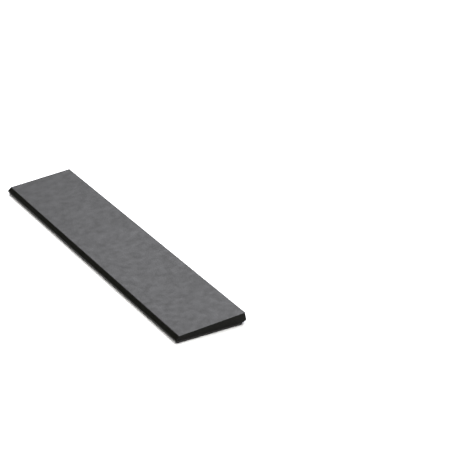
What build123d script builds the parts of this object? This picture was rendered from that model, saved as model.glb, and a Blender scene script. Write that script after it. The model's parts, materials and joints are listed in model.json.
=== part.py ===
from build123d import *
import os
from math import atan2, cos, degrees, hypot, radians, sin, tan

# Wrist rest for a full-size keyboard: a hollow wedge made of two mouldings screwed together from
# below, with steel ballast, docking magnets behind its rear face and rubber feet.
# Millimetres. +X runs along the rest to the user's right, +Y away from the user towards the
# keyboard, +Z up. The origin is on the table, at the centre of the footprint.

# Overall shape, seen from the end
length = 442.0           # end face to end face
half_depth = 42.1        # front nose and rear waist both reach this far from the centre
height = 13.6            # rear top edge above the table
crease_y = -37.8         # crease between the palm surface and the nose
crease_z = 8.2
nose_slope = 40.0        # degrees the nose falls away from the crease
nose_radius = 1.4        # tip of the nose
front_lean = 20.0        # degrees the front and rear lean in below the nose and the undercut
end_lean = 7.0           # degrees the ends of the tray lean in
rear_top_y = 40.8        # rear edge of the palm surface
waist_z = 4.8            # widest point of the rear face, above the undercut
undercut_y = 38.3        # where the undercut meets the seam
tray_bottom_z = 0.4      # underside, held off the table by the feet
end_edge_radius = 0.5    # where the end faces meet the nose
rear_corner_radius = 1.6  # upright corners beside the docking face

# Mouldings
wall = 2.0
floor_top_z = 2.4        # upper face of the tray floor
seam_z = 3.0             # lower rim of the shell
seam_gap = 0.25          # shadow gap between shell and tray
seam_inset = 0.3         # the tray stands this far inside the shell at the seam
tongue_thickness = 1.0
tongue_height = 1.05
tongue_clearance = 0.15
tray_corner_radius = 2.2
rib_thickness = 1.2
rib_bottom_z = 4.8

# Screws that close the case
cover_screw_x = (-207.0, -70.0, 70.0, 207.0)
cover_screw_y = (-30.0, 26.0)
cover_boss_radius = 3.0
cover_boss_bottom_z = 4.0
standoff_radius = 4.6
counterbore_radius = 3.0
counterbore_top_z = 2.6
cover_hole_radius = 1.6
cover_head_radius = 2.5
cover_head_height = 1.4
cover_shank_radius = 1.15
cover_shank_length = 3.8
pilot_clearance = 0.1

# Steel ballast under the ribs
plate_size = (184.0, 40.0, 1.5)
plate_centre_x = 103.0
plate_centre_y = -2.0
plate_screw_inset = 6.0
plate_boss_radius = 2.5
plate_hole_radius = 1.3
plate_head_radius = 2.1
plate_head_height = 0.6
plate_shank_radius = 0.95
plate_shank_length = 3.6
foam_size = (168.0, 8.0)
foam_rows_y = {"front": -8.5, "rear": 4.5}

# Docking magnets and the rails that hold them behind the rear face
magnet_size = (20.0, 3.0, 2.0)
magnet_pitch = 60.0
magnet_first_x = 50.0
magnets_per_side = 3
magnet_play = 0.1
rail_size = (164.0, 4.8, 3.4)
rail_centre_z = 9.0
rail_ear_y = 32.8
rail_ear_size = (10.0, 6.0, 1.5)
rail_ear_bottom_z = 6.6
rail_boss_radius = 2.4
rail_hole_radius = 1.3
rail_head_radius = 2.0
rail_head_height = 0.9
rail_shank_radius = 0.95
rail_shank_length = 3.6

# Feet
foot_x = {"left": -178.0, "centre": 0.0, "right": 178.0}
foot_y = {"front": -31.5, "rear": 29.0}
foot_size = (28.0, 8.0)
foot_edge_radius = 0.4
foot_recess_play = 0.4
foot_recess_top_z = 1.2
tape_thickness = 0.2

half_length = length / 2
top_angle = atan2(height - crease_z, rear_top_y - crease_y)
nose_sin, nose_cos = sin(radians(nose_slope)), cos(radians(nose_slope))
nose_centre_y = nose_radius - half_depth
nose_centre_z = crease_z - (nose_radius + (crease_y - nose_centre_y) * nose_sin) / nose_cos
nose_end_y = nose_centre_y - nose_radius * cos(radians(front_lean))
nose_end_z = nose_centre_z - nose_radius * sin(radians(front_lean))
rear_lean = (half_depth - rear_top_y, waist_z - height)
rear_normal = (-rear_lean[1] / hypot(*rear_lean), rear_lean[0] / hypot(*rear_lean))
plate_bottom_z = rib_bottom_z - plate_size[2]


def front_y(z):
    # The leaning front at a height below the nose
    return nose_end_y + (nose_end_z - z) * tan(radians(front_lean))


def rear_y(z):
    # The leaning rear at a height below the undercut
    return undercut_y - (seam_z - z) * tan(radians(front_lean))


def end_x(z):
    # The leaning ends at a height below the seam
    return half_length - (seam_z - z) * tan(radians(end_lean))


def palm_z(y):
    # Height of the palm surface
    return crease_z + (y - crease_y) * (height - crease_z) / (rear_top_y - crease_y)


def box_between(low, high):
    size = [b - a for a, b in zip(low, high)]
    return Pos(*low) * Box(*size, align=(Align.MIN, Align.MIN, Align.MIN))


def cylinder_between(x, y, radius, low_z, high_z):
    place = Align.CENTER, Align.CENTER, Align.MIN
    return Pos(x, y, low_z) * Cylinder(radius, high_z - low_z, align=place)


def wedge_outline():
    # Cross-section of the whole body: the nose tip, then the underside, rear, palm surface and nose
    nose_start = (nose_centre_y - nose_radius * nose_sin, nose_centre_z + nose_radius * nose_cos)
    nose_end = (nose_end_y, nose_end_z)
    tip = ThreePointArc(nose_start, (-half_depth, nose_centre_z), nose_end)
    rest = Polyline(
        nose_end,
        (front_y(tray_bottom_z), tray_bottom_z),
        (rear_y(tray_bottom_z), tray_bottom_z),
        (undercut_y, seam_z),
        (half_depth, waist_z),
        (rear_top_y, height),
        (crease_y, crease_z),
        nose_start,
    )
    return Plane.YZ * make_face([tip, rest])


def cover_screw_places():
    return [(x, y) for x in cover_screw_x for y in cover_screw_y]


def plate_screw_places():
    across = plate_size[0] / 2 - plate_screw_inset
    along = plate_size[1] / 2 - plate_screw_inset
    return [
        (side * plate_centre_x + dx, plate_centre_y + dy)
        for side in (-1, 1)
        for dx in (-across, 0, across)
        for dy in (-along, along)
    ]


def magnet_places(side):
    return [side * (magnet_first_x + i * magnet_pitch) for i in range(magnets_per_side)]


def rail_screw_places(side):
    first, second = (magnet_first_x + (i + 0.5) * magnet_pitch for i in (0, 1))
    return [(side * first, rail_ear_y), (side * second, rail_ear_y)]


def all_rail_screw_places():
    return rail_screw_places(-1) + rail_screw_places(1)


def behind_rear_wall(x):
    # Frame on the inner side of the rear wall: x along the rest, y down the wall, z outwards
    outer_z = rail_centre_z + wall * rear_normal[1]
    outer_y = rear_top_y + (height - outer_z) * rear_lean[0] / -rear_lean[1]
    origin = (x, outer_y - wall * rear_normal[0], rail_centre_z)
    return Plane(origin=origin, x_dir=(1, 0, 0), z_dir=(0, rear_normal[0], rear_normal[1]))


def shell_ribs():
    # A transverse rib about every 36 mm, stopping short of the magnet rails, and two long ribs
    ribs = Part()
    rail_front_y = rail_ear_y - rail_ear_size[1] / 2 - 0.4
    for x in (19.0, 54.0, 88.0, 120.0, 154.0, 191.0):
        for side in (-1, 1):
            low = (side * x - rib_thickness / 2, -half_depth, rib_bottom_z)
            high = (side * x + rib_thickness / 2, rail_front_y, height)
            ribs += box_between(low, high)
    for y in cover_screw_y:
        low = (-half_length, y - rib_thickness / 2, rib_bottom_z)
        ribs += box_between(low, (half_length, y + rib_thickness / 2, height))
    return ribs


def shell_bosses():
    bosses = Part()
    for x, y in cover_screw_places():
        bosses += cylinder_between(x, y, cover_boss_radius, cover_boss_bottom_z, height)
    for x, y in plate_screw_places():
        bosses += cylinder_between(x, y, plate_boss_radius, rib_bottom_z, height)
    ear_top_z = rail_ear_bottom_z + rail_ear_size[2]
    for x, y in all_rail_screw_places():
        bosses += cylinder_between(x, y, rail_boss_radius, ear_top_z, height)
    return bosses


def shell_pilot_holes():
    holes = Part()
    for x, y in cover_screw_places():
        top = counterbore_top_z + cover_shank_length + pilot_clearance
        radius = cover_shank_radius + pilot_clearance
        holes += cylinder_between(x, y, radius, cover_boss_bottom_z, top)
    for x, y in plate_screw_places():
        top = min(plate_bottom_z + plate_shank_length + pilot_clearance, palm_z(y) - wall)
        radius = plate_shank_radius + pilot_clearance
        holes += cylinder_between(x, y, radius, rib_bottom_z, top)
    for x, y in all_rail_screw_places():
        top = rail_ear_bottom_z + rail_shank_length + pilot_clearance
        radius = rail_shank_radius + pilot_clearance
        holes += cylinder_between(x, y, radius, rail_ear_bottom_z, top)
    return holes


def round_end_edges(body):
    # The upright rear corners get a larger radius than the edges of the nose
    ends = body.edges().filter_by(lambda e: abs(abs(e.center().X) - half_length) < 0.01)
    rear = ends.filter_by(lambda e: e.center().Y > rear_top_y and e.center().Z > waist_z)
    body = fillet(rear, rear_corner_radius)
    ends = body.edges().filter_by(lambda e: abs(abs(e.center().X) - half_length) < 0.01)
    nose = ends.filter_by(lambda e: e.center().Y < crease_y)
    return fillet(nose, end_edge_radius)


def make_top_shell():
    outline = wedge_outline()
    body = round_end_edges(extrude(outline, amount=half_length, both=True))
    cavity = extrude(offset(outline, amount=-wall), amount=half_length - wall, both=True)
    cavity = cavity - shell_ribs() - shell_bosses()
    above = box_between((-length, -length, seam_z), (length, length, 2 * height))
    return ((body - cavity) & above) - shell_pilot_holes()


def make_base_tray():
    rim_z = seam_z - seam_gap
    tray = loft([tray_section(tray_bottom_z), tray_section(rim_z)])
    tongue_x = half_length - wall - tongue_clearance
    tongue_top_z = rim_z + tongue_height
    tongue_front = front_y(seam_z) + wall / cos(radians(front_lean)) + tongue_clearance
    tongue_rear = undercut_y - wall - tongue_clearance
    tongue_low = (-tongue_x, tongue_front, floor_top_z)
    tray += box_between(tongue_low, (tongue_x, tongue_rear, tongue_top_z))
    inner_low = (-tongue_x + tongue_thickness, tongue_front + tongue_thickness, floor_top_z)
    inner_high = (tongue_x - tongue_thickness, tongue_rear - tongue_thickness, height)
    tray -= box_between(inner_low, inner_high)
    for x, y in cover_screw_places():
        tray += cylinder_between(x, y, standoff_radius, floor_top_z, cover_boss_bottom_z)
        tray -= cylinder_between(x, y, cover_hole_radius, 0, height)
        tray -= cylinder_between(x, y, counterbore_radius, 0, counterbore_top_z)
    recess_size = [s + foot_recess_play for s in foot_size]
    for x in foot_x.values():
        for y in foot_y.values():
            tray -= Pos(x, y, 0) * extrude(SlotOverall(*recess_size), foot_recess_top_z)
    return tray


def tray_section(z):
    # Horizontal section of the tray, set in from the body's own outline
    front = front_y(z) + seam_inset
    rear = rear_y(z) - seam_inset
    width = 2 * (end_x(z) - seam_inset)
    outline = RectangleRounded(width, rear - front, tray_corner_radius)
    return Pos(0, (front + rear) / 2, z) * outline


def make_screw(x, y, seat_z, head_radius, head_height, shank_radius, shank_length):
    # Driven upwards from below: the head hangs under seat_z and has a cross recess
    screw = cylinder_between(x, y, head_radius, seat_z - head_height, seat_z)
    screw += cylinder_between(x, y, shank_radius, seat_z, seat_z + shank_length)
    slot = head_radius * 1.1, head_radius * 0.28, head_height
    for size in (slot, (slot[1], slot[0], slot[2])):
        screw -= Pos(x, y, seat_z - head_height) * Box(*size)
    return screw


def make_screws(places, seat_z, head_radius, head_height, shank_radius, shank_length):
    sizes = head_radius, head_height, shank_radius, shank_length
    return Compound([make_screw(x, y, seat_z, *sizes).solid() for x, y in places])


def make_ballast_plate(side):
    centre_z = plate_bottom_z + plate_size[2] / 2
    plate = Box(*plate_size)
    plate = fillet(plate.edges().filter_by(Axis.Z), plate_screw_inset / 2)
    plate = Pos(side * plate_centre_x, plate_centre_y, centre_z) * plate
    for x, y in plate_screw_places():
        plate -= cylinder_between(x, y, plate_hole_radius, 0, height)
    return plate


def make_foam(side, y):
    middle = side * plate_centre_x
    low = (middle - foam_size[0] / 2, y - foam_size[1] / 2, floor_top_z)
    high = (middle + foam_size[0] / 2, y + foam_size[1] / 2, plate_bottom_z)
    return box_between(low, high)


def make_magnet(x):
    return behind_rear_wall(x) * Pos(0, 0, -magnet_size[2] / 2) * Box(*magnet_size)


def make_magnet_rail(side):
    # A bar with open pockets against the rear wall, and two ears that screw up into the shell
    middle = side * (magnet_first_x + magnet_pitch)
    rail = behind_rear_wall(middle) * Pos(0, 0, -rail_size[2] / 2) * Box(*rail_size)
    for x, y in rail_screw_places(side):
        ear_low = (x - rail_ear_size[0] / 2, y - rail_ear_size[1] / 2, rail_ear_bottom_z)
        ear_high = (x + rail_ear_size[0] / 2, rear_top_y - 3, ear_low[2] + rail_ear_size[2])
        rail += box_between(ear_low, ear_high)
        rail -= cylinder_between(x, y, rail_hole_radius, 0, height)
    pocket = [s + magnet_play for s in magnet_size[:2]] + [2 * magnet_size[2]]
    for x in magnet_places(side):
        rail -= behind_rear_wall(x) * Box(*pocket)
    return rail


def make_foot(x, y):
    foot = extrude(SlotOverall(*foot_size), foot_recess_top_z - tape_thickness)
    foot = fillet(foot.faces().sort_by(Axis.Z)[0].edges(), foot_edge_radius)
    return Pos(x, y, 0) * foot


def make_foot_tapes():
    tape = extrude(SlotOverall(*[s - 1 for s in foot_size]), tape_thickness)
    base_z = foot_recess_top_z - tape_thickness
    places = [(x, y) for x in foot_x.values() for y in foot_y.values()]
    return Compound([(Pos(x, y, base_z) * tape).solid() for x, y in places])


def make_nodes():
    nodes = {"top_shell": make_top_shell(), "base_tray": make_base_tray()}
    for name, side in (("left", -1), ("right", 1)):
        nodes[f"{name}_ballast_plate"] = make_ballast_plate(side)
        nodes[f"{name}_magnet_rail"] = make_magnet_rail(side)
        for row, y in foam_rows_y.items():
            nodes[f"{name}_{row}_foam"] = make_foam(side, y)
        for i, x in enumerate(magnet_places(side), 1):
            nodes[f"{name}_docking_magnet_{i}"] = make_magnet(x)
    for column, x in foot_x.items():
        for row, y in foot_y.items():
            nodes[f"{row}_{column}_foot"] = make_foot(x, y)
    nodes["foot_tapes"] = make_foot_tapes()
    nodes["cover_screws"] = make_screws(
        cover_screw_places(), counterbore_top_z, cover_head_radius, cover_head_height,
        cover_shank_radius, cover_shank_length)
    nodes["ballast_screws"] = make_screws(
        plate_screw_places(), plate_bottom_z, plate_head_radius, plate_head_height,
        plate_shank_radius, plate_shank_length)
    nodes["rail_screws"] = make_screws(
        all_rail_screw_places(), rail_ear_bottom_z, rail_head_radius, rail_head_height,
        rail_shank_radius, rail_shank_length)
    return nodes


os.makedirs("parts", exist_ok=True)
for node, shape in make_nodes().items():
    export_step(shape, f"parts/{node}.step")
    box = shape.bounding_box()
    print(node, [round(v, 2) for v in (*box.min, *box.max)])
print("palm surface slope", round(degrees(top_angle), 2), "degrees,",
      round((rear_top_y - crease_y) / cos(top_angle), 1), "mm deep")
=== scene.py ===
import json
import bmesh
import bpy
import numpy as np
from mathutils import Matrix, Vector
from mathutils.geometry import delaunay_2d_cdt


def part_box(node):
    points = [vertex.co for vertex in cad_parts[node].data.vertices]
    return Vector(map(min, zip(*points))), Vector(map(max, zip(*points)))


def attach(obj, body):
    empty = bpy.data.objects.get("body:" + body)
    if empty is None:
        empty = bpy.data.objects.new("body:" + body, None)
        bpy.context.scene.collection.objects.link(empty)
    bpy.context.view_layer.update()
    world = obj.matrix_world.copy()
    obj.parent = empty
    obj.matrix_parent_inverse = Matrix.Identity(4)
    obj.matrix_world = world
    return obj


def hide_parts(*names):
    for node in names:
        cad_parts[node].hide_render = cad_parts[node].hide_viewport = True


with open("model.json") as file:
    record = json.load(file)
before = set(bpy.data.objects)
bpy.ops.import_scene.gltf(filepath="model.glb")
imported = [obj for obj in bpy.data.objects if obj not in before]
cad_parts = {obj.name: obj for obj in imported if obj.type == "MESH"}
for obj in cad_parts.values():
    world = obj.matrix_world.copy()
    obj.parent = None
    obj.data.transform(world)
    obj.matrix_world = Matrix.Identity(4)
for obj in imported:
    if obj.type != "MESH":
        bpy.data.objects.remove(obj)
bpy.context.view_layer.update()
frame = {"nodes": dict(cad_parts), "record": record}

mm = 0.001
print("frame loaded:", len(frame["nodes"]), "nodes")

# Lengths below are millimetres and angles are degrees, unless a note says otherwise.
view = {
    "azimuth": 62.07, "elevation": 25.393, "roll": 1.972,
    "distance": 2206.6, "aimX": -2.41, "aimY": 138.45, "lens": 152.0,
}


def makeCamera():
    azimuth, elevation = np.radians(view["azimuth"]), np.radians(view["elevation"])
    flat = np.cos(elevation)
    back = Vector((np.sin(azimuth) * flat, -np.cos(azimuth) * flat, np.sin(elevation)))
    data = bpy.data.cameras.new("camera")
    data.lens = view["lens"]
    camera = bpy.data.objects.new("camera", data)
    bpy.context.scene.collection.objects.link(camera)
    level = back.to_track_quat("Z", "Y").to_matrix()
    turn = level @ Matrix.Rotation(np.radians(-view["roll"]), 3, "Z")
    place = (Vector((view["aimX"], view["aimY"], 0)) + back * view["distance"]) * mm
    camera.matrix_world = Matrix.Translation(place) @ turn.to_4x4()
    bpy.context.scene.camera = camera


# Distances in metres, radiances in the renderer's own unit, where 1 is a white screen.
studio = {
    "floorSize": 4.6, "floorColour": (0.9, 0.9, 0.9), "floorRoughness": 0.9, "floorSpecular": 0.1,
    "room": 0.075, "backdrop": 1.0,
    "boxes": {
        "topSoftBox": {
            "towards": (0.0, 0.1, 1.0), "distance": 2.2, "size": (2.6, 2.6),
            "radiance": 3.7, "tint": (1.0, 1.0, 1.0),
        },
        "backSoftBox": {
            "towards": (-0.70, 0.45, 0.66), "distance": 3.2, "size": (2.2, 1.5),
            "radiance": 11.0, "tint": (0.985, 0.985, 1.04),
        },
        "frontSoftBox": {
            "towards": (0.60, -0.48, 0.64), "distance": 2.5, "size": (0.9, 0.9),
            "radiance": 9.0, "tint": (1.0, 0.98, 0.93),
        },
    },
}


def makeSoftBox(name, box):
    data = bpy.data.lights.new(name, "AREA")
    data.shape = "RECTANGLE"
    data.size, data.size_y = box["size"]
    data.color = box["tint"]
    data.energy = box["radiance"] * np.pi * data.size * data.size_y     # watts for that radiance
    light = bpy.data.objects.new(name, data)
    bpy.context.scene.collection.objects.link(light)
    towards = Vector(box["towards"]).normalized()
    turn = towards.to_track_quat("Z", "Y").to_matrix()
    light.matrix_world = Matrix.Translation(towards * box["distance"]) @ turn.to_4x4()


def makeFloor():
    half = studio["floorSize"] / 2
    mesh = bpy.data.meshes.new("floor")
    corners = [(-half, -half, 0), (half, -half, 0), (half, half, 0), (-half, half, 0)]
    mesh.from_pydata(corners, [], [(0, 1, 2, 3)])
    floor = bpy.data.objects.new("floor", mesh)
    bpy.context.scene.collection.objects.link(floor)
    paper = bpy.data.materials.new("palePaper")
    paper.use_nodes = True
    shader = paper.node_tree.nodes["Principled BSDF"]
    shader.inputs["Base Color"].default_value = (*studio["floorColour"], 1)
    shader.inputs["Roughness"].default_value = studio["floorRoughness"]
    shader.inputs["Specular IOR Level"].default_value = studio["floorSpecular"]
    mesh.materials.append(paper)


def makeRoom():
    # The camera sees a pale backdrop, and the object is lit by a dimmer room
    world = bpy.data.worlds.new("room")
    world.use_nodes = True
    nodes, links = world.node_tree.nodes, world.node_tree.links
    room = nodes["Background"]
    room.inputs["Color"].default_value = (studio["room"],) * 3 + (1,)
    backdrop = nodes.new("ShaderNodeBackground")
    backdrop.inputs["Color"].default_value = (studio["backdrop"],) * 3 + (1,)
    ray = nodes.new("ShaderNodeLightPath")
    mix = nodes.new("ShaderNodeMixShader")
    links.new(ray.outputs["Is Camera Ray"], mix.inputs[0])
    links.new(room.outputs[0], mix.inputs[1])
    links.new(backdrop.outputs[0], mix.inputs[2])
    links.new(mix.outputs[0], nodes["World Output"].inputs["Surface"])
    bpy.context.scene.world = world
    bpy.context.scene.view_settings.view_transform = "Standard"


makeCamera()
makeFloor()
makeRoom()
for name, box in studio["boxes"].items():
    makeSoftBox(name, box)
print("camera, floor and lights set")


noiseRange = (0.3, 0.7)        # nearly all noise values lie between these


def newMaterial(name, colour, roughness, specular, metallic=0.0):
    material = bpy.data.materials.new(name)
    material.use_nodes = True
    shader = material.node_tree.nodes["Principled BSDF"]
    shader.inputs["Base Color"].default_value = (*colour, 1)
    shader.inputs["Roughness"].default_value = roughness
    shader.inputs["Specular IOR Level"].default_value = specular
    shader.inputs["Metallic"].default_value = metallic
    return material


def addNode(material, kind, **sockets):
    # A node with its sockets set by name, where underscores stand for spaces
    node = material.node_tree.nodes.new(kind)
    for name, value in sockets.items():
        node.inputs[name.replace("_", " ")].default_value = value
    return node


def objectNoise(material, size, detail=2.0, stretch=(1, 1, 1)):
    # Noise on object coordinates, with features about size millimetres across
    tree = material.node_tree
    place = tree.nodes.new("ShaderNodeTexCoord")
    scale = addNode(material, "ShaderNodeMapping", Scale=stretch)
    noise = addNode(material, "ShaderNodeTexNoise", Scale=1 / (size * mm), Detail=detail)
    tree.links.new(place.outputs["Object"], scale.inputs["Vector"])
    tree.links.new(scale.outputs["Vector"], noise.inputs["Vector"])
    return noise.outputs["Fac"]


def spread(material, value, low, high):
    # Noise values spread over a range
    ends = {"From_Min": noiseRange[0], "From_Max": noiseRange[1], "To_Min": low, "To_Max": high}
    node = addNode(material, "ShaderNodeMapRange", **ends)
    material.node_tree.links.new(value, node.inputs["Value"])
    return node.outputs["Result"]


def varyColour(material, value, dark, light):
    ramp = material.node_tree.nodes.new("ShaderNodeValToRGB")
    for stop, position, colour in zip(ramp.color_ramp.elements, noiseRange, (dark, light)):
        stop.position = position
        stop.color = (*colour, 1)
    tree = material.node_tree
    tree.links.new(value, ramp.inputs["Fac"])
    tree.links.new(ramp.outputs["Color"], tree.nodes["Principled BSDF"].inputs["Base Color"])


def varyRoughness(material, value, low, high):
    shader = material.node_tree.nodes["Principled BSDF"]
    material.node_tree.links.new(spread(material, value, low, high), shader.inputs["Roughness"])


def raiseBump(material, height, depth):
    # Grain of that depth in millimetres
    shader = material.node_tree.nodes["Principled BSDF"]
    bump = addNode(material, "ShaderNodeBump", Strength=1.0, Distance=depth * mm)
    material.node_tree.links.new(height, bump.inputs["Height"])
    material.node_tree.links.new(bump.outputs["Normal"], shader.inputs["Normal"])


# In each finish below, sheen is the lowest and the highest roughness
softTouch = {
    "dark": (0.0034, 0.0034, 0.0023), "light": (0.0046, 0.0046, 0.0034), "specular": 0.08,
    "sheen": (0.34, 0.43), "patch": 8.0, "grain": 0.35, "grainDepth": 0.006,
}


def softTouchCoat(look=softTouch):
    # A matt rubbery coat: faint cloudy patches of colour and gloss, over a fine even grain
    material = newMaterial("softTouch", look["dark"], look["sheen"][0], look["specular"])
    patch = objectNoise(material, look["patch"], detail=3.0)
    varyColour(material, patch, look["dark"], look["light"])
    varyRoughness(material, patch, *look["sheen"])
    raiseBump(material, objectNoise(material, look["grain"]), look["grainDepth"])
    return material


sparkedAbs = {
    "dark": (0.0120, 0.0118, 0.0112), "light": (0.0160, 0.0156, 0.0150), "specular": 0.32,
    "sheen": (0.46, 0.56), "flow": 14.0, "along": 0.3, "grain": 0.25, "grainDepth": 0.02,
}


def traySurface(look=sparkedAbs):
    # Moulded against a spark-eroded tool: an even pitted grain, with faint flow marks along x
    material = newMaterial("trayPlastic", look["dark"], look["sheen"][0], look["specular"])
    flow = objectNoise(material, look["flow"], stretch=(look["along"], 1, 1))
    varyColour(material, flow, look["dark"], look["light"])
    varyRoughness(material, flow, *look["sheen"])
    raiseBump(material, objectNoise(material, look["grain"], detail=3.0), look["grainDepth"])
    return material


railPlastic = {
    "dark": (0.020, 0.020, 0.022), "light": (0.028, 0.028, 0.031), "specular": 0.4,
    "sheen": (0.40, 0.50), "flow": 8.0, "along": 0.4,
}


def railSurface(look=railPlastic):
    material = newMaterial("railPlastic", look["dark"], look["sheen"][0], look["specular"])
    flow = objectNoise(material, look["flow"], stretch=(look["along"], 1, 1))
    varyColour(material, flow, look["dark"], look["light"])
    varyRoughness(material, flow, *look["sheen"])
    return material


footRubber = {
    "dark": (0.016, 0.016, 0.017), "light": (0.026, 0.026, 0.026), "specular": 0.3,
    "sheen": (0.78, 0.90), "dust": 2.5, "grain": 0.2, "grainDepth": 0.02,
}


def footSurface(look=footRubber):
    # Matt silicone, a little paler where dust clings
    material = newMaterial("footRubber", look["dark"], look["sheen"][0], look["specular"])
    dust = objectNoise(material, look["dust"], detail=4.0)
    varyColour(material, dust, look["dark"], look["light"])
    varyRoughness(material, dust, *look["sheen"])
    raiseBump(material, objectNoise(material, look["grain"]), look["grainDepth"])
    return material


# dark is the painted shade in the cells' hollows, light the paler raised walls
closedCellFoam = {
    "dark": (0.012, 0.012, 0.012), "light": (0.040, 0.040, 0.040), "specular": 0.2,
    "roughness": 0.95, "cell": 0.6, "cellDepth": 0.15,
}


def foamSurface(look=closedCellFoam):
    # Small round cells with raised walls: painted shade darkens the hollows between them, and the walls
    # are painted paler
    material = newMaterial("closedCellFoam", look["dark"], look["roughness"], look["specular"])
    tree = material.node_tree
    where = tree.nodes.new("ShaderNodeTexCoord")
    cells = addNode(material, "ShaderNodeTexVoronoi", Scale=1 / (look["cell"] * mm))
    tree.links.new(where.outputs["Object"], cells.inputs["Vector"])
    # The colour follows the cells' depth as painted shade: dark in the hollows, paler on the raised
    # walls
    varyColour(material, cells.outputs["Distance"], look["dark"], look["light"])
    raiseBump(material, cells.outputs["Distance"], look["cellDepth"])
    return material


adhesiveFilm = {
    "dark": (0.42, 0.40, 0.35), "light": (0.60, 0.58, 0.53), "specular": 0.5,
    "roughness": 0.35, "mottle": 3.0,
}


def filmSurface(look=adhesiveFilm):
    material = newMaterial("adhesiveFilm", look["dark"], look["roughness"], look["specular"])
    mottle = objectNoise(material, look["mottle"], detail=3.0)
    varyColour(material, mottle, look["dark"], look["light"])
    return material


# Metals: streak is the width of the marks, drawn out along x where along is below 1
metals = {
    "rolledZinc": {"dark": (0.36, 0.37, 0.39), "light": (0.50, 0.51, 0.52), "sheen": (0.28, 0.45),
                   "streak": 0.5, "along": 0.04, "depth": 0.01},
    "brightNickel": {"dark": (0.60, 0.58, 0.54), "light": (0.70, 0.68, 0.64), "sheen": (0.10, 0.22),
                     "streak": 0.8, "along": 0.3, "depth": 0.003},
    "screwZinc": {"dark": (0.42, 0.42, 0.42), "light": (0.56, 0.56, 0.55), "sheen": (0.25, 0.38),
                  "streak": 0.4, "along": 1.0, "depth": 0.006},
    "blackOxide": {"dark": (0.022, 0.022, 0.024), "light": (0.045, 0.045, 0.048), "sheen": (0.35, 0.50),
                   "streak": 0.5, "along": 1.0, "depth": 0.006},
}


def metalSurface(name):
    look = metals[name]
    material = newMaterial(name, look["dark"], look["sheen"][0], specular=0.5, metallic=1.0)
    streaks = objectNoise(material, look["streak"], detail=3.0, stretch=(look["along"], 1, 1))
    varyColour(material, streaks, look["dark"], look["light"])
    varyRoughness(material, streaks, *look["sheen"])
    raiseBump(material, streaks, look["depth"])
    return material


looks = {
    "soft_touch": softTouchCoat(), "tray_plastic": traySurface(), "rail_plastic": railSurface(),
    "foot_rubber": footSurface(), "foam_black": foamSurface(), "tape_clear": filmSurface(),
    "plate_steel": metalSurface("rolledZinc"), "magnet_nickel": metalSurface("brightNickel"),
    "screw_zinc": metalSurface("screwZinc"), "screw_black": metalSurface("blackOxide"),
}
slots = {row["node"]: row["material_slot"] for row in frame["record"]["subparts"]}
for name, node in frame["nodes"].items():
    node.data.materials.clear()
    node.data.materials.append(looks[slots[name]])
print("materials made")

# Section of the body, seen from its left end: y to the rear, z up
body = {
    "creaseY": -37.8, "creaseZ": 8.2, "noseSlope": 40.0, "noseRadius": 1.4, "frontLean": 20.0,
    "endLean": 7.0, "rearTopY": 40.8, "waistZ": 4.8, "undercutY": 38.3, "bottomZ": 0.4, "seamZ": 3.0,
    "wall": 2.0, "nosePoints": 9,
}
low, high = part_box("top_shell")
body["halfLength"], body["halfDepth"], body["height"] = high.x / mm, high.y / mm, high.z / mm


def leanIn(lean, fromZ, z):
    # How far a side that leans by that angle comes in between two heights
    return (fromZ - z) * np.tan(np.radians(lean))


def palmZ(y):
    rise = (body["height"] - body["creaseZ"]) / (body["rearTopY"] - body["creaseY"])
    return body["creaseZ"] + (y - body["creaseY"]) * rise


def noseArc():
    # A circle that touches the nose slope, reaches the front limit and ends at the leaning front
    radius, slope = body["noseRadius"], np.radians(body["noseSlope"])
    centreY = radius - body["halfDepth"]
    drop = (radius + (body["creaseY"] - centreY) * np.sin(slope)) / np.cos(slope)
    start, end = 90 + body["noseSlope"], 180 + body["frontLean"]
    turn = np.radians(np.linspace(start, end, body["nosePoints"]))
    return centreY + radius * np.cos(turn), body["creaseZ"] - drop + radius * np.sin(turn)


def frontY(z):
    arcY, arcZ = noseArc()
    return arcY[-1] + leanIn(body["frontLean"], arcZ[-1], z)


def rearY(z):
    return body["undercutY"] - leanIn(body["frontLean"], body["seamZ"], z)


def meetingPoints(corners, wall):
    # Each side of an outline moves in by the wall: where it meets its moved neighbour, on the
    # bisector, at wall / cos(half the turn) from the old corner. The two ends move along y.
    side = np.diff(corners, axis=0)
    side /= np.linalg.norm(side, axis=1)[:, None]
    inward = np.stack([side[:, 1], -side[:, 0]], 1)
    bisector = inward[:-1] + inward[1:]
    reach = wall / (1 + (inward[:-1] * inward[1:]).sum(1))
    inside = corners[1:-1] + bisector * reach[:, None]
    first = corners[0] + (wall / inward[0, 0], 0)
    last = corners[-1] + (wall / inward[-1, 0], 0)
    return np.array([first, *inside, last])


weldGap = 1e-7        # metres


def quarterTurn(steps=4):
    return np.radians(np.linspace(0, 90, steps + 1))


def weld(name, patches):
    # Patches of (points, faces) in millimetres, joined where they meet, with faces outwards
    points, faces = [], []
    for patchPoints, patchFaces in patches:
        start = sum(map(len, points))
        points.append(np.reshape(patchPoints, (-1, 3)))
        faces += [[start + i for i in face] for face in patchFaces]
    mesh = bpy.data.meshes.new(name)
    mesh.from_pydata((np.concatenate(points) * mm).tolist(), [], faces)
    shape = bmesh.new()
    shape.from_mesh(mesh)
    bmesh.ops.remove_doubles(shape, verts=shape.verts, dist=weldGap)
    bmesh.ops.recalc_face_normals(shape, faces=shape.faces)
    shape.to_mesh(mesh)
    shape.free()
    return mesh


def grid(rows, closed=True):
    # Quads between neighbouring rows of points: an array of rows x points x 3
    rows = np.asarray(rows, float)
    count, across = rows.shape[:2]
    index = np.arange(count * across).reshape(count, across)
    if closed:
        index = np.concatenate([index, index[:, :1]], 1)
    quads = np.stack([index[:-1, :-1], index[:-1, 1:], index[1:, 1:], index[1:, :-1]], -1)
    return rows, quads.reshape(-1, 4).tolist()


def lid(loop):
    return loop, [list(range(len(loop)))]


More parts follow.
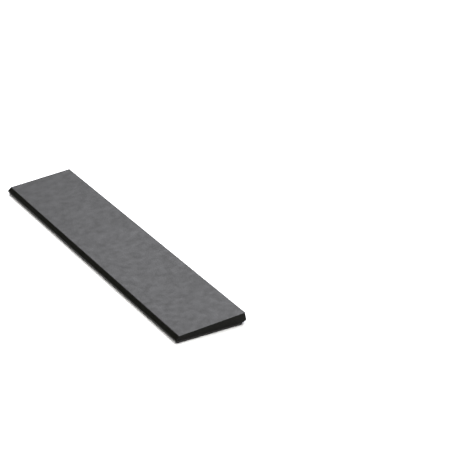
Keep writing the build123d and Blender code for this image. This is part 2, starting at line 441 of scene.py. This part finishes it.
def place(piece, slot, *nodes):
    bpy.context.scene.collection.objects.link(piece)
    piece.data.materials.append(looks[slot])
    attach(piece, "root")
    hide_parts(*nodes)
    return piece


def smooth(mesh, sharpAngle):
    mesh.shade_smooth()
    mesh.set_sharp_from_angle(angle=np.radians(sharpAngle))


# Radii of the moulded edges. The front of the rim stays sharp, and seam is for the rear of it.
edges = {
    "crease": 0.7, "rearTop": 0.5, "waist": 0.8, "endTop": 0.25, "noseEnd": 0.8,
    "dockingEnd": 1.6, "undercutEnd": 0.6, "seam": 0.2, "segments": 4,
}


def edgeRadii(outline):
    # Along the outline: a radius for each corner, then one for each side where it meets an end
    nose = body["nosePoints"] + 1
    corner = [0] * nose + [edges["crease"], edges["rearTop"], edges["waist"], edges["seam"]]
    side = [edges["noseEnd"]] * nose
    side += [edges["endTop"], edges["dockingEnd"], edges["undercutEnd"]]
    return np.array(corner), np.array(side)


def shellOutline():
    # From the front of the rim round the nose, over the palm surface and down to the rear rim
    arcY, arcZ = noseArc()
    seam = body["seamZ"]
    back = body["rearTopY"], body["halfDepth"], body["undercutY"]
    y = [frontY(seam), *arcY[::-1], body["creaseY"], *back]
    z = [seam, *arcZ[::-1], body["creaseZ"], body["height"], body["waistZ"], seam]
    return np.array([y, z]).T


def makeTopShell():
    # The outline carried along x for the outer skin, and its corners moved in for the cavity,
    # whose last corner is brought up to the seam
    outline = shellOutline()
    cavity = meetingPoints(cavityGuide(outline), body["wall"])
    cavity[-1] = body["undercutY"] - body["wall"] / np.cos(np.radians(body["frontLean"])), body["seamZ"]
    outerX = body["halfLength"] * np.array([-1, 1])
    innerX = (body["halfLength"] - body["wall"]) * np.array([-1, 1])
    outer = np.array([[(x, y, z) for y, z in outline] for x in outerX])
    inner = np.array([[(x, y, z) for y, z in cavity] for x in innerX])
    rim = np.array([
        [(left, *front), (right, *front), (right, *rear), (left, *rear)]
        for (left, right), (front, *_, rear) in ((outerX, outline), (innerX, cavity))
    ])
    patches = [grid(outer, closed=False), lid(outer[0]), lid(outer[1])]
    patches += [grid(inner, closed=False), lid(inner[0]), lid(inner[1]), grid(rim)]
    mesh = weld("topShell", patches)
    markRadii(mesh, outline, *edgeRadii(outline))
    smooth(mesh, sharpAngle=35)
    shell = bpy.data.objects.new("topShell", mesh)
    rounding = shell.modifiers.new("edgeRounding", "BEVEL")
    rounding.limit_method = "WEIGHT"
    rounding.width = edges["dockingEnd"] * mm
    rounding.segments = edges["segments"]
    rounding.harden_normals = True
    return place(shell, "soft_touch", "top_shell")


def cavityGuide(outline):
    # The outline with its nose arc replaced by the corner that the arc rounds off, where the nose
    # slope meets the leaning front, and carried on below the seam at the rear
    count = body["nosePoints"]
    front, top = outline[1], outline[count]
    slope, lean = np.radians(body["noseSlope"]), np.radians(body["frontLean"])
    up, down = (-np.sin(lean), np.cos(lean)), (-np.cos(slope), -np.sin(slope))
    run = np.linalg.solve(np.array([up, down]).T * (-1, 1), front - top)[1]
    below = (rearY(body["bottomZ"]), body["bottomZ"])
    return np.array([outline[0], top + run * np.array(down), *outline[count + 1:], below])


def markRadii(mesh, outline, cornerRadius, sideRadius):
    # Each outer edge gets its radius as a share of the largest, found by where its middle lies.
    # An edge along the body is longer than any step round its ends, and spots closer than touch
    # are the same.
    touch = 0.01
    ends = np.zeros(len(mesh.edges) * 2, int)
    mesh.edges.foreach_get("vertices", ends)
    spot = np.zeros(len(mesh.vertices) * 3)
    mesh.vertices.foreach_get("co", spot)
    spot = spot.reshape(-1, 3)[ends].reshape(-1, 2, 3) / mm
    middle = spot.mean(1)
    along = np.ptp(spot[:, :, 0], axis=1) > body["halfLength"]
    outer = np.abs(spot[:, :, 0]).min(1) > body["halfLength"] - touch
    weight = np.zeros(len(mesh.edges))
    for points, radius, chosen in (
        (outline, cornerRadius, along & outer),
        ((outline[1:] + outline[:-1]) / 2, sideRadius, ~along & outer),
    ):
        gap = np.linalg.norm(middle[:, None, 1:] - points[None], axis=2)
        near = gap.min(1) < touch
        weight = np.where(chosen & near, radius[gap.argmin(1)], weight)
    attribute = mesh.attributes.new("bevel_weight_edge", "FLOAT", "EDGE")
    attribute.data.foreach_set("value", (weight / edges["dockingEnd"]).astype(np.float32))


def ringLoop(x, y, width, depth, radius, z, steps=6):
    # A rounded rectangle: four quarter circles about its inner corners. z is a number or a
    # function of y.
    turn = np.radians(90 * np.arange(4)[:, None] + np.linspace(0, 90, steps + 1))
    sideX = np.array([1, -1, -1, 1])[:, None]
    sideY = np.array([1, 1, -1, -1])[:, None]
    loopX = x + sideX * (width / 2 - radius) + radius * np.cos(turn)
    loopY = y + sideY * (depth / 2 - radius) + radius * np.sin(turn)
    loopZ = z(loopY) if callable(z) else np.full_like(loopY, z)
    return np.stack([loopX, loopY, loopZ], -1).reshape(-1, 3)


def disc(x, y, radius, z):
    return ringLoop(x, y, 2 * radius, 2 * radius, radius, z)


def stack(loops):
    # A closed solid: loops carried from one to the next, with a lid at each end
    return [grid(loops), lid(loops[0]), lid(loops[-1])]


def within(spots, loop, slack=1e-9):
    # Inside a convex loop, a spot lies on the same side of every edge
    edge = np.roll(loop, -1, axis=0) - loop
    gap = spots[:, None] - loop[None]
    return (edge[:, 0] * gap[:, :, 1] - edge[:, 1] * gap[:, :, 0] >= -slack).all(1)


def holedLid(outer, holes):
    # A flat face between an outer loop and the loops of its holes, cut into triangles
    loops = [outer, *holes]
    lines, start = [], 0
    for loop in loops:
        index = start + np.arange(len(loop))
        lines += np.stack([index, np.roll(index, -1)], 1).tolist()
        start += len(loop)
    corners = [Vector(p[:2]) for p in np.concatenate(loops)]
    insideOnly, slack = 1, 1e-6
    spots, _, faces, *_ = delaunay_2d_cdt(corners, lines, [], insideOnly, slack)
    spots = np.array([spot[:] for spot in spots])
    faces = np.array(faces)
    middle = spots[faces].mean(1)
    inHole = np.any([within(middle, hole[:, :2]) for hole in holes], axis=0)
    points = np.column_stack([spots, np.full(len(spots), outer[0, 2])])
    return points, faces[~inHole].tolist()


# standoff, hole and counterbore are radii
tray = {
    "seamGap": 0.25, "seamInset": 0.3, "corner": 2.2, "edge": 0.35, "softEdge": 0.15,
    "floorZ": 2.4, "tongueWidth": 1.0, "tongueHeight": 1.05, "clearance": 0.15, "tongueCorner": 0.3,
    "screwX": (-207.0, -70.0, 70.0, 207.0), "screwY": (-30.0, 26.0),
    "standoff": 4.6, "standoffZ": 4.0, "hole": 1.6, "counterbore": 3.0, "counterboreZ": 2.6,
    "footPlay": 0.4, "recessZ": 1.2,
}
feet = [name for name, slot in slots.items() if slot == "foot_rubber"]
coverScrews = [(x, y) for x in tray["screwX"] for y in tray["screwY"]]


def trayLoop(z, step=0.0):
    # The tray's outline at a height, drawn in by a step
    inset = tray["seamInset"] + step
    endX = body["halfLength"] - leanIn(body["endLean"], body["seamZ"], z) - inset
    front, rear = frontY(z) + inset, rearY(z) - inset
    return ringLoop(0, (front + rear) / 2, 2 * endX, rear - front, tray["corner"] - step, z)


def tongueLoop(step, z):
    # The tongue that stands up inside the shell, clear of its walls
    frontWall = body["wall"] / np.cos(np.radians(body["frontLean"]))
    front = frontY(body["seamZ"]) + frontWall + tray["clearance"]
    rear = body["undercutY"] - body["wall"] - tray["clearance"]
    endX = body["halfLength"] - body["wall"] - tray["clearance"]
    size = 2 * (endX - step), rear - front - 2 * step
    return ringLoop(0, (front + rear) / 2, *size, tray["tongueCorner"], z)


def footPlace(node):
    low, high = (np.array(corner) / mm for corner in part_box(node))
    return (*(low + high)[:2] / 2, *(high - low)[:2], high[2])


def makeBaseTray():
    # One skin: the underside, up the leaning sides, over the rim and tongue, and down to the floor
    bottom, rim, soft = body["bottomZ"], body["seamZ"] - tray["seamGap"], tray["softEdge"]
    edge = tray["edge"]
    skin = [trayLoop(bottom + edge * (1 - np.cos(a)), edge * (1 - np.sin(a))) for a in quarterTurn()]
    top = rim + tray["tongueHeight"]
    skin += [trayLoop(rim - soft), trayLoop(rim, soft)]
    skin += [tongueLoop(0, rim), tongueLoop(0, top - soft), tongueLoop(soft, top)]
    width = tray["tongueWidth"]
    skin += [tongueLoop(width - soft, top), tongueLoop(width, top - soft)]
    skin += [tongueLoop(width, tray["floorZ"])]
    patches = [grid(skin)]
    floorHoles, bottomHoles = [], []
    for x, y in coverScrews:
        column = [
            (tray["standoff"], tray["floorZ"]), (tray["standoff"], tray["standoffZ"] - soft),
            (tray["standoff"] - soft, tray["standoffZ"]), (tray["hole"] + soft, tray["standoffZ"]),
            (tray["hole"], tray["standoffZ"] - soft), (tray["hole"], tray["counterboreZ"]),
            (tray["counterbore"], tray["counterboreZ"]), (tray["counterbore"], bottom + soft),
            (tray["counterbore"] + soft, bottom),
        ]
        loops = [disc(x, y, radius, z) for radius, z in column]
        patches.append(grid(loops))
        floorHoles.append(loops[0])
        bottomHoles.append(loops[-1])
    for node in feet:
        x, y, width, depth, _ = footPlace(node)
        width, depth = width + tray["footPlay"], depth + tray["footPlay"]
        recess = [
            ringLoop(x, y, width + 2 * wider, depth + 2 * wider, depth / 2 + wider, z)
            for wider, z in ((soft, bottom), (0, bottom + soft), (0, tray["recessZ"]))
        ]
        patches += [grid(recess), lid(recess[-1])]
        bottomHoles.append(recess[0])
    patches += [holedLid(skin[0], bottomHoles), holedLid(skin[-1], floorHoles)]
    mesh = weld("baseTray", patches)
    smooth(mesh, sharpAngle=35)
    return place(bpy.data.objects.new("baseTray", mesh), "tray_plastic", "base_tray")


# Bosses are radii, and a pilot is a hole's radius and the height of its blind end
ribs = {
    "thickness": 1.2, "draft": 0.15, "root": 0.2, "corner": 0.1, "bottomZ": 4.8,
    "crossX": (19.0, 54.0, 88.0, 120.0, 154.0, 191.0), "crossY": (-36.8, 29.4),
    "coverBoss": 3.0, "coverPilot": (1.25, 6.5), "plateBoss": 2.5, "platePilot": (1.05, 7.0),
    "railBoss": 2.4, "railBossZ": 8.1, "railPilot": (1.05, 10.3),
}
plate = {
    "size": (184.0, 40.0), "x": 103.0, "y": -2.0, "screwInset": 6.0, "hole": 1.3,
    "corner": 3.0, "edge": 0.25,
}
rails = {"y": 32.8, "x": (80.0, 140.0)}


def plateScrews(side):
    width, depth = plate["size"]
    acrossX, acrossY = width / 2 - plate["screwInset"], depth / 2 - plate["screwInset"]
    return [
        (side * plate["x"] + x, plate["y"] + y)
        for x in (-acrossX, 0, acrossX) for y in (-acrossY, acrossY)
    ]


ballastScrews = plateScrews(-1) + plateScrews(1)
railScrews = [(side * x, rails["y"]) for side in (-1, 1) for x in rails["x"]]


def roofZ(y):
    # Just inside the roof wall, so that a rib or boss grows out of it
    return palmZ(y) - body["wall"] + ribs["root"]


def bossStack(x, y, radius, pilot, lowZ):
    # Rings down the outside from the roof, in over the free rim, and up the hole to its blind end
    holeRadius, holeZ = pilot
    soft = ribs["draft"]
    profile = [
        (radius, roofZ(y)), (radius, lowZ + soft), (radius - soft, lowZ), (holeRadius + soft, lowZ),
        (holeRadius, lowZ + soft), (holeRadius, holeZ),
    ]
    return stack([disc(x, y, r, z) for r, z in profile])


def ribStack(x, y, width, depth):
    # A rib a little thinner at its free edge than at its root
    draft = 2 * ribs["draft"]
    root = ringLoop(x, y, width, depth, ribs["corner"], roofZ)
    free = ringLoop(x, y, width - draft, depth - draft, ribs["corner"], ribs["bottomZ"])
    return stack([root, free])


def makeShellRibs():
    patches = []
    frontEnd, rearEnd = ribs["crossY"]
    for x in ribs["crossX"]:
        for side in (-1, 1):
            middle, depth = (frontEnd + rearEnd) / 2, rearEnd - frontEnd
            patches += ribStack(side * x, middle, ribs["thickness"], depth)
    # The long ribs stop in the walls of the cover bosses, clear of their pilot holes
    reach = (ribs["coverBoss"] + ribs["coverPilot"][0]) / 2
    endX = body["halfLength"] - body["wall"]
    starts = [-endX, *(x + reach for x in tray["screwX"])]
    ends = [*(x - reach for x in tray["screwX"]), endX]
    for start, end in zip(starts, ends):
        for y in tray["screwY"]:
            patches += ribStack((start + end) / 2, y, end - start, ribs["thickness"])
    for x, y in coverScrews:
        patches += bossStack(x, y, ribs["coverBoss"], ribs["coverPilot"], tray["standoffZ"])
    for x, y in ballastScrews:
        patches += bossStack(x, y, ribs["plateBoss"], ribs["platePilot"], ribs["bottomZ"])
    for x, y in railScrews:
        patches += bossStack(x, y, ribs["railBoss"], ribs["railPilot"], ribs["railBossZ"])
    mesh = weld("shellRibs", patches)
    smooth(mesh, sharpAngle=35)
    return place(bpy.data.objects.new("shellRibs", mesh), "soft_touch", "top_shell")


grip = {
    "edge": 0.4, "topEdge": 0.1, "ridgePitch": 0.8, "ridgeDepth": 0.14, "samples": 8, "centre": 0.8,
}


def camelName(node):
    # front_left_foot becomes frontLeftFoot
    first, *rest = node.split("_")
    return first + "".join(word.title() for word in rest)


def makeFoot(node):
    # The slot outline drawn in step by step: up the side, round the lower edge, then over ridges
    # whose height is half a cosine wave across each pitch
    x, y, width, depth, top = footPlace(node)
    turn, edge, topEdge = quarterTurn(5), grip["edge"], grip["topEdge"]
    inset = np.arange(edge, depth / 2 - grip["centre"], grip["ridgePitch"] / grip["samples"])
    ridge = grip["ridgeDepth"] * (0.5 - 0.5 * np.cos(2 * np.pi * (inset - edge) / grip["ridgePitch"]))
    steps = np.concatenate([[topEdge, 0.0], edge * (1 - np.cos(turn)), inset[1:]])
    heights = np.concatenate([[top, top - topEdge], edge * (1 - np.sin(turn)), ridge[1:]])
    loops = [
        ringLoop(x, y, width - 2 * step, depth - 2 * step, depth / 2 - step, z)
        for step, z in zip(steps, heights)
    ]
    mesh = weld(camelName(node), stack(loops))
    smooth(mesh, sharpAngle=50)
    return place(bpy.data.objects.new(camelName(node), mesh), "foot_rubber", node)


tape = {"margin": 0.5, "cutEdge": 0.03, "cutHeight": 0.05}


def makeTapes():
    # A film pad on each foot, its edge drawn in a hair where it was cut
    lowZ, highZ = (corner.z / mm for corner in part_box("foot_tapes"))
    profile = ((tape["cutEdge"], lowZ), (0.0, lowZ + tape["cutHeight"]), (tape["cutEdge"], highZ))
    patches = []
    for node in feet:
        x, y, width, depth, _ = footPlace(node)
        loops = []
        for cut, z in profile:
            inset = tape["margin"] + cut
            loops.append(ringLoop(x, y, width - 2 * inset, depth - 2 * inset, depth / 2 - inset, z))
        patches += stack(loops)
    mesh = weld("footTapes", patches)
    smooth(mesh, sharpAngle=35)
    return place(bpy.data.objects.new("footTapes", mesh), "tape_clear", "foot_tapes")


def makePlate(side, node):
    # Sheared sheet: the outline and the holes have the same small rolled edge above and below
    low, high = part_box(node)
    lowZ, highZ = low.z / mm, high.z / mm
    width, depth = plate["size"]
    x, y, edge = side * plate["x"], plate["y"], plate["edge"]
    profile = ((edge, lowZ), (0, lowZ + edge), (0, highZ - edge), (edge, highZ))
    outside = [ringLoop(x, y, width - 2 * e, depth - 2 * e, plate["corner"] - e, z) for e, z in profile]
    patches, holes = [grid(outside)], []
    for holeX, holeY in plateScrews(side):
        holes.append([disc(holeX, holeY, plate["hole"] + e, z) for e, z in profile])
        patches.append(grid(holes[-1]))
    for end in (0, -1):
        patches.append(holedLid(outside[end], [hole[end] for hole in holes]))
    mesh = weld(camelName(node), patches)
    smooth(mesh, sharpAngle=50)
    return place(bpy.data.objects.new(camelName(node), mesh), "plate_steel", node)


foamStrip = {"bow": 0.25, "corner": 0.4, "levels": 9}


def makeFoam(node):
    # A cut strip squeezed under its plate: the sides bow, as a sine from face to face
    low, high = (np.array(corner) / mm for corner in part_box(node))
    x, y = (low + high)[:2] / 2
    width, depth = (high - low)[:2]
    share = np.linspace(0, 1, foamStrip["levels"])
    drawnIn = 2 * foamStrip["bow"] * (1 - np.sin(np.pi * share))
    loops = [
        ringLoop(x, y, width - inset, depth - inset, foamStrip["corner"], z)
        for inset, z in zip(drawnIn, low[2] + share * (high - low)[2])
    ]
    mesh = weld(camelName(node), stack(loops))
    smooth(mesh, sharpAngle=60)
    foam = place(bpy.data.objects.new(camelName(node), mesh), "foam_black", node)
    return foam


docking = {"size": (20.0, 3.0, 2.0), "edge": 0.25, "corner": 0.375, "midZ": 9.0}


def makeMagnet(node):
    # A bar with rounded edges, built flat and turned to lie against the sloping rear wall:
    # y goes down the wall and z out through it
    low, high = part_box(node)
    x = (low.x + high.x) / 2 / mm
    width, depth, thick = docking["size"]
    turn, edge = quarterTurn(), docking["edge"]
    rise = edge * (1 - np.cos(turn))
    inset = 2 * edge * (1 - np.sin(turn))
    levels = [*zip(inset, rise - thick), *zip(inset[::-1], -rise[::-1])]
    loops = np.array([ringLoop(0, 0, width - i, depth - i, docking["corner"], z) for i, z in levels])
    out = np.array([body["height"] - body["waistZ"], body["halfDepth"] - body["rearTopY"]])
    out /= np.hypot(*out)
    fromTop = (body["height"] - docking["midZ"]) * out[1] / out[0]
    wallY = body["rearTopY"] + fromTop - body["wall"] / out[0]
    middle = loops[..., 1:2] * (out[1], -out[0]) + loops[..., 2:3] * out
    points = np.concatenate([loops[..., :1] + x, middle + (wallY, docking["midZ"])], -1)
    mesh = weld(camelName(node), stack(points))
    smooth(mesh, sharpAngle=50)
    return place(bpy.data.objects.new(camelName(node), mesh), "magnet_nickel", node)


# Each kind of screw: head and shank are radii, and the seat is where the head bears
screws = {
    "cover_screws": {
        "slot": "screw_black", "seatZ": 2.6, "head": 2.5, "headHeight": 1.4,
        "shank": 1.15, "length": 3.8, "pitch": 0.8,
    },
    "ballast_screws": {
        "slot": "screw_zinc", "seatZ": 3.3, "head": 2.1, "headHeight": 0.6,
        "shank": 0.95, "length": 3.6, "pitch": 0.7,
    },
    "rail_screws": {
        "slot": "screw_zinc", "seatZ": 6.6, "head": 2.0, "headHeight": 0.9,
        "shank": 0.95, "length": 3.6, "pitch": 0.7,
    },
}
# Shares of the head's radius and height, and the edge of its seat
panHead = {"flat": 0.75, "dome": 0.55, "seatEdge": 0.05, "samples": 48}
drive = {"arm": 0.56, "width": 0.15, "floor": 0.55, "depth": 0.7, "mouth": 0.08}
# Its depth, then shares of the screw's length and of its core
thread = {"depth": 0.22, "perTurn": 8, "end": 0.88, "taper": 0.93, "neck": 0.8, "tip": 0.2}


def crossOutline(turn):
    # The driver recess in polar form: flat arm ends, or the arms' parallel sides, whichever is nearer
    arm = (turn + np.pi / 4) % (np.pi / 2) - np.pi / 4
    away = np.maximum(np.abs(np.sin(arm)), 1e-6)        # never quite zero, so it can divide
    return np.minimum(drive["arm"] / np.cos(arm), drive["width"] / away)


def screwLoops(screw):
    # Rings from the recess floor out over the pan head, then up the thread, whose radius is a
    # triangle wave of the height less the turn, to the point
    turn = np.linspace(0, 2 * np.pi, panHead["samples"], endpoint=False)
    even = np.zeros_like(turn)        # added to a number, it makes a whole ring
    cross, radius, height = crossOutline(turn), screw["head"], screw["headHeight"]
    flat, dome, seatEdge = panHead["flat"], panHead["dome"], panHead["seatEdge"]
    rings = [(cross * radius * drive["floor"], even + height * (drive["depth"] - 1))]
    rings.append((cross * radius, even + height * (drive["mouth"] - 1)))
    for a in quarterTurn():
        ringRadius = radius * (flat + (1 - flat) * np.sin(a))
        rings.append((even + ringRadius, even + height * (dome * (1 - np.cos(a)) - 1)))
    rings.append((even + radius, even - seatEdge))
    rings.append((even + radius - seatEdge, even))
    length, pitch = screw["length"], screw["pitch"]
    for z in np.arange(0, length * thread["end"], pitch / thread["perTurn"]):
        wave = np.abs(2 * ((z / pitch - turn / (2 * np.pi)) % 1) - 1)
        rings.append((screw["shank"] - thread["depth"] * wave, even + z))
    core = screw["shank"] - thread["depth"]
    rings.append((even + core * thread["neck"], even + length * thread["taper"]))
    rings.append((even + core * thread["tip"], even + length))
    ring, rise = np.array(rings).transpose(1, 0, 2)
    return np.stack([ring * np.cos(turn), ring * np.sin(turn), rise + screw["seatZ"]], -1)


def makeScrews(node, places):
    loops = screwLoops(screws[node])
    patches = []
    for x, y in places:
        patches += stack(loops + (x, y, 0))
    mesh = weld(camelName(node), patches)
    smooth(mesh, sharpAngle=40)
    return place(bpy.data.objects.new(camelName(node), mesh), screws[node]["slot"], node)


makeTopShell()
makeShellRibs()
print("top shell made")
makeBaseTray()
print("base tray made")
for node in feet:
    makeFoot(node)
makeTapes()
for side, name in ((-1, "left"), (1, "right")):
    makePlate(side, f"{name}_ballast_plate")
for node, slot in slots.items():
    if slot == "foam_black":
        makeFoam(node)
    if slot == "magnet_nickel":
        makeMagnet(node)
makeScrews("cover_screws", coverScrews)
makeScrews("ballast_screws", ballastScrews)
makeScrews("rail_screws", railScrews)
print("feet, ballast, magnets and screws made")
